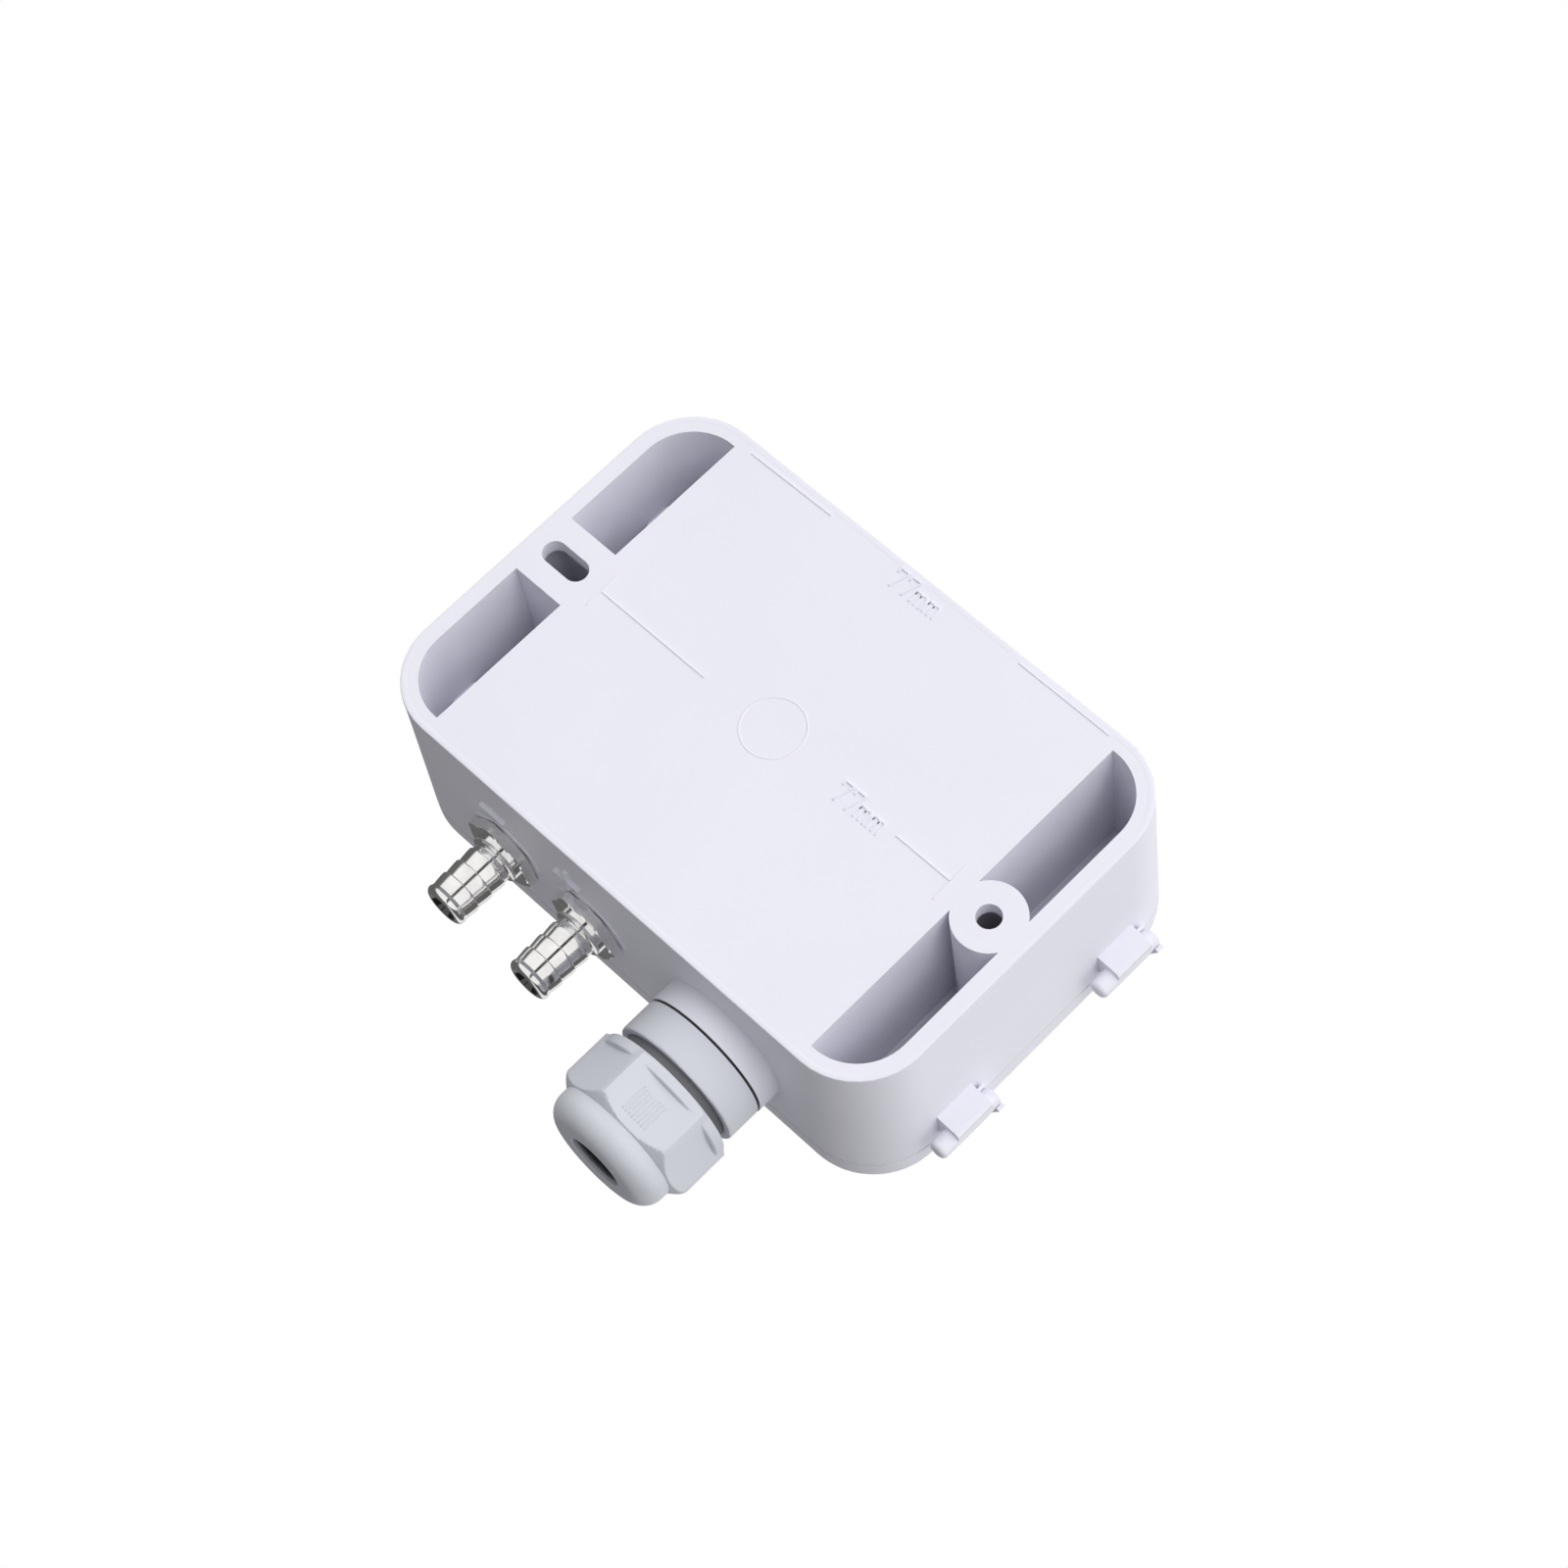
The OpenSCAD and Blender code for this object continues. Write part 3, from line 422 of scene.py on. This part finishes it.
def hexagon_collar(bm, flats, inner, near, far, edge, turn):
    """A hexagon with its corners turned off at both ends and a round hole, as rings of points."""
    steps = 72
    round_r = flats / 2 / math.cos(math.radians(30)) - 0.12
    rings = []
    for d, cap in ((near, flats / 2 + edge * 0.4), (near + edge, 99), (far - edge, 99), (far, flats / 2 + edge * 0.4)):
        ring = []
        for i in range(steps):
            a = 2 * math.pi * i / steps
            off = (a + math.radians(30)) % (math.pi / 3) - math.pi / 6
            r = min(flats / 2 / math.cos(off), round_r, cap)
            b = a + math.radians(turn)
            ring.append(bm.verts.new((r * math.cos(b), r * math.sin(b), -d)))
        rings.append(ring)
    for d in (far, near):
        ring = []
        for i in range(steps):
            b = 2 * math.pi * i / steps + math.radians(turn)
            ring.append(bm.verts.new((inner * math.cos(b), inner * math.sin(b), -d)))
        rings.append(ring)
    for j in range(len(rings)):
        a, b = rings[j], rings[(j + 1) % len(rings)]
        for i in range(steps):
            q = (i + 1) % steps
            bm.faces.new((a[i], a[q], b[q], b[i]))


def place_on_port_axis(bm, x):
    bmesh.ops.scale(bm, vec=(MM, MM, MM), verts=bm.verts)
    bmesh.ops.translate(bm, vec=(x * MM, -PORT_DEPTH * MM, 0), verts=bm.verts)


def barbs():
    """Turned hose barbs with soft ridges, a rounded tip and a flared bore. The near one's hexagon stands turned."""
    seat, tip = 30.83, 42.43
    for node, x, turn in (("port_plus", 5.4, 30.0), ("port_minus", 21.4, 50.0)):
        low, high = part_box(node)
        end = -high.z / MM
        hex_out = seat + 1.5
        outer = [(1.2, end), (1.6, end), (2.0, end + 0.8), (2.0, 24.6), (3.0, 24.6), (3.0, hex_out - 0.2), (3.8, hex_out - 0.2),
                 (3.8, hex_out + 0.65), (3.6, hex_out + 0.8), (3.12, hex_out + 0.95)]
        first, pitch, rise = hex_out + 1.7, (tip - 1.2 - hex_out - 1.7) / 3, 0.2
        for i in range(3):
            for f, h in ((0.0, 0.0), (0.03, 0.55), (0.07, 0.95), (0.14, 1.0), (0.35, 0.86), (0.6, 0.52), (0.93, 0.04)):
                outer.append((3.14 + rise * h, first + pitch * (i + f)))
        for i in range(7):
            a = math.radians(15 * i)
            outer.append((3.32 - 0.95 + 0.95 * math.cos(a), tip - 0.85 + 0.85 * math.sin(a)))
        outer += [(2.2, tip - 0.05), (1.5, tip - 0.95), (1.46, tip - 1.6), (1.2, tip - 2.2)]
        bm = bmesh.new()
        lathe(bm, outer)
        place_on_port_axis(bm, x)
        new = piece(node + "_turned", bm, "nickel_and_bore_shade", "housing", smooth=24)
        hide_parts(node)
        bm = bmesh.new()
        hexagon_collar(bm, 10.5, 2.9, seat - 0.33, hex_out - 0.2, 0.15, turn)
        place_on_port_axis(bm, x)
        piece(node + "_hexagon", bm, "nickel_and_bore_shade", "housing")


def gland_collar():
    """The fixed part of the gland looks plainly round: a turned sleeve over its clipped hexagon."""
    low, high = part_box("dome_nut")
    near = 30.0 + 0.38 * PORT_DEPTH / 27.5 + 3.4 + 0.5
    far = near + 4.9
    out = [(9.66, near - 0.14), (9.78, near - 0.14), (9.82, near), (9.82, far - 0.3), (9.76, far - 0.1), (9.6, far + 0.02),
           (8.7, far + 0.02), (8.7, far - 0.5), (9.66, far - 0.5)]
    bm = bmesh.new()
    lathe(bm, out, 96)
    place_on_port_axis(bm, GLAND_X)
    piece("gland_collar", bm, "gland", "housing", smooth=40)
    # A thin dark grey ring over the neck: painted shade in the gap between the collar and the nut.
    bm = bmesh.new()
    nut_end = -high.z / MM
    lathe(bm, [(8.4, far - 0.1), (8.66, far - 0.1), (8.66, nut_end + 0.6), (8.4, nut_end + 0.6)], 96)
    place_on_port_axis(bm, GLAND_X)
    piece("gland_neck_shade", bm, "neck", "housing", smooth=40)


def port_signs():
    """Raised minus and plus beside the ports, on the drafted lower wall."""
    def on_wall(x, depth, h):
        return Vector((x, -depth, -(30.0 + 0.38 * depth / 27.5) - h)) * MM
    bm = bmesh.new()
    raised_stroke(bm, [(20.5, 8.3), (24.5, 8.3)], 0.85, 0.6, on_wall, 0.2)
    raised_stroke(bm, [(6.4, 8.5), (10.4, 8.5)], 0.85, 0.6, on_wall, 0.2)
    raised_stroke(bm, [(8.4, 6.5), (8.4, 10.5)], 0.85, 0.6, on_wall, 0.2)
    piece("port_signs", bm, "housing", "housing")


NUT_FLATS = 49


def nut_radius(angle, cap, flange):
    """The nut's outline: a hexagon of 19 mm with its corners turned off, and a round flange at its inner end."""
    off = (angle - math.radians(NUT_FLATS) + math.radians(30)) % (math.pi / 3) - math.pi / 6
    return max(min(9.5 / math.cos(off), cap), flange)


def gland_nut():
    """The dome nut with crisp corners, turned ends and its round flange next to the neck."""
    low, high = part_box("dome_nut")
    start, tip = -high.z / MM - 0.4, -low.z / MM
    hex_end = start + 8.8
    rings = [(start, 10.2, 10.2), (start + 0.15, 10.35, 10.35), (start + 0.35, 10.85, 10.35), (start + 1.35, 10.85, 10.3),
             (start + 1.5, 10.85, 10.15), (start + 1.65, 10.85, 0), (hex_end - 1.5, 10.85, 0)]
    rings += [(hex_end - 1.5 + 1.5 * i / 9, 10.85 - 1.45 * (i / 9) ** 1.4, 0) for i in range(1, 10)]
    rings += [(hex_end + 0.02, 9.25, 9.25)]
    rings += [(tip - 3 + 3 * math.sin(math.radians(9 * i)), 0, 6.25 + 3 * math.cos(math.radians(9 * i))) for i in range(11)]
    rings += [(tip, 0, 4.3), (tip - 0.1, 0, 4.1), (tip - 0.3, 0, 4.05), (tip - 0.6, 0, 4.05), (tip - 0.6, 0, 4.75),
              (start + 7.75, 0, 4.75), (start + 7.75, 0, 7.55), (start + 6.25, 0, 7.55), (start + 6.25, 0, 8.37), (start, 0, 8.37)]
    bm = bmesh.new()
    steps = 120
    rows = [[bm.verts.new((nut_radius(a, cap, flange) * math.cos(a), nut_radius(a, cap, flange) * math.sin(a), -d))
             for a in (2 * math.pi * (i + 1 / 3) / steps for i in range(steps))] for d, cap, flange in rings]
    for j in range(len(rows)):
        near, far = rows[j], rows[(j + 1) % len(rows)]
        for i in range(steps):
            k = (i + 1) % steps
            bm.faces.new((near[i], near[k], far[k], far[i]))
    place_on_port_axis(bm, GLAND_X)
    nut = piece("dome_nut_turned", bm, "gland", "dome_nut", smooth=18)
    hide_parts("dome_nut")


def nut_ribs():
    """Fine grip ribs on every second flat of the dome nut."""
    bm = bmesh.new()
    low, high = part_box("dome_nut")
    top = high.z / MM - 2.9
    end = top - 4.1
    for face in range(3):
        angle = math.radians(NUT_FLATS + 60 + 120 * face)
        out = Vector((math.cos(angle), math.sin(angle), 0))
        side = Vector((-out.y, out.x, 0))
        for k in range(8):
            across = (k - 3.5) * 0.55 - 0.3
            rows = []
            for z, h in ((top, 0.0), (top - 0.3, 0.11), (end + 0.3, 0.11), (end, 0.0)):
                row = []
                for du, dh in ((-0.17, -0.04), (-0.13, 0.0), (-0.05, 1.0), (0.05, 1.0), (0.13, 0.0), (0.17, -0.04)):
                    rise = h * dh if dh > 0 else dh
                    p = out * (9.5 + rise) + side * (across + du)
                    row.append(bm.verts.new(Vector((GLAND_X + p.x, -PORT_DEPTH + p.y, z)) * MM))
                rows.append(row)
            for r, q in zip(rows, rows[1:]):
                for i in range(6):
                    bm.faces.new((r[i], r[(i + 1) % 6], q[(i + 1) % 6], q[i]))
            bm.faces.new(rows[0])
            bm.faces.new(list(reversed(rows[-1])))
    piece("nut_ribs", bm, "gland", "dome_nut")


# Light and surroundings
FLOOR_GLOW = 0.24


def ray_kind(tree, *kinds):
    """1 for the given kinds of ray, such as Is Camera Ray, and 0 for all others."""
    path = tree.nodes.new("ShaderNodeLightPath")
    most = path.outputs[kinds[0]]
    for other in kinds[1:]:
        m = tree.nodes.new("ShaderNodeMath")
        m.operation = "MAXIMUM"
        tree.links.new(most, m.inputs[0])
        tree.links.new(path.outputs[other], m.inputs[1])
        most = m.outputs[0]
    return most


def ramp_of(tree, value, stops):
    """Grey levels along a value from 0 to 1."""
    ramp = tree.nodes.new("ShaderNodeValToRGB")
    while len(ramp.color_ramp.elements) < len(stops):
        ramp.color_ramp.elements.new(0.5)
    for element, (at, level) in zip(ramp.color_ramp.elements, stops):
        element.position = at
        element.color = (level, level, level, 1)
    tree.links.new(value, ramp.inputs["Fac"])
    return ramp.outputs["Color"]


def studio_room():
    """A soft room: bright all round above the floor, softer overhead, and low below.
    Metal sees it white on the side behind the object's back, with a narrow gap, white in front of its lid,
    and dim to the other sides."""
    world = bpy.data.worlds.new("world")
    scene.world = world
    world.use_nodes = True
    tree = world.node_tree
    way = tree.nodes.new("ShaderNodeTexCoord")
    part = tree.nodes.new("ShaderNodeSeparateXYZ")
    tree.links.new(way.outputs["Generated"], part.inputs[0])
    height = math_node(tree, "MULTIPLY_ADD", part.outputs["Z"], 0.5, 0.5)
    round_about = math_node(tree, "ARCTAN2", part.outputs["Y"], part.outputs["X"])
    round_about = math_node(tree, "MULTIPLY_ADD", round_about, 0.5 / math.pi, 0.5)
    light = ramp_of(tree, height, [(0.49, FLOOR_GLOW), (0.52, 0.93), (0.80, 0.93), (0.95, 0.42)])
    seen = ramp_of(tree, round_about, [
        (0.17, 0.12), (0.19, 0.9), (0.26, 0.9), (0.28, 0.13), (0.545, 0.13), (0.575, 1.0), (0.774, 1.0), (0.779, 0.06), (0.809, 0.06), (0.814, 1.0), (0.955, 1.0), (0.985, 0.12)])
    levels = []
    for color, strength in ((light, 1.4), (seen, 1.0), (None, 1.0)):
        node = tree.nodes.new("ShaderNodeBackground")
        node.inputs["Color"].default_value = (1, 1, 1, 1)
        node.inputs["Strength"].default_value = strength
        if color is not None:
            tree.links.new(color, node.inputs["Color"])
        levels.append(node.outputs[0])
    out = levels[0]
    for fac, level in ((ray_kind(tree, "Is Glossy Ray"), levels[1]),
                       (ray_kind(tree, "Is Camera Ray", "Is Transmission Ray"), levels[2])):
        mix = tree.nodes.new("ShaderNodeMixShader")
        tree.links.new(fac, mix.inputs["Fac"])
        tree.links.new(out, mix.inputs[1])
        tree.links.new(level, mix.inputs[2])
        out = mix.outputs[0]
    tree.links.new(out, tree.nodes["World Output"].inputs["Surface"])


def floor_sheet():
    """The pale floor. To the light it is darker than to the eye, so that the object's lower side stays in shade."""
    bm = bmesh.new()
    bmesh.ops.create_grid(bm, x_segments=2, y_segments=2, size=3)
    mesh = bpy.data.meshes.new("floor")
    bm.to_mesh(mesh)
    bm.free()
    floor = bpy.data.objects.new("floor", mesh)
    floor.location = (0, 0, -0.6)
    scene.collection.objects.link(floor)
    m = Maker("floor", (0.8, 0.8, 0.8), 0.8)
    shown = ray_kind(m.tree, "Is Camera Ray", "Is Transmission Ray")
    m.link(ramp_of(m.tree, shown, [(0, FLOOR_GLOW), (1, 0.8)]), m.shader.inputs["Base Color"])
    mesh.materials.append(m.mat)
    floor.visible_glossy = False


def lamp(name, place, size, power, color=(1, 1, 1)):
    data = bpy.data.lights.new(name, "AREA")
    data.shape = "DISK"
    data.size = size
    data.energy = power
    data.color = color
    obj = bpy.data.objects.new(name, data)
    obj.location = place
    aim = Vector((0, -0.016, 0)) - Vector(place)
    obj.rotation_euler = aim.to_track_quat("-Z", "Y").to_euler()
    obj.visible_glossy = False
    scene.collection.objects.link(obj)


make_camera()
studio_room()
floor_sheet()
lamp("key", (-0.62, 1.05, 0.1), 0.7, 5.0)
lamp("front_key", (0.5, -0.9, 0.8), 0.8, 4.0)
back_marks()
ejector_ring()
back_rim()
port_signs()
gland_nut()
nut_ribs()
barbs()
gland_collar()

scene.view_settings.view_transform = "Standard"
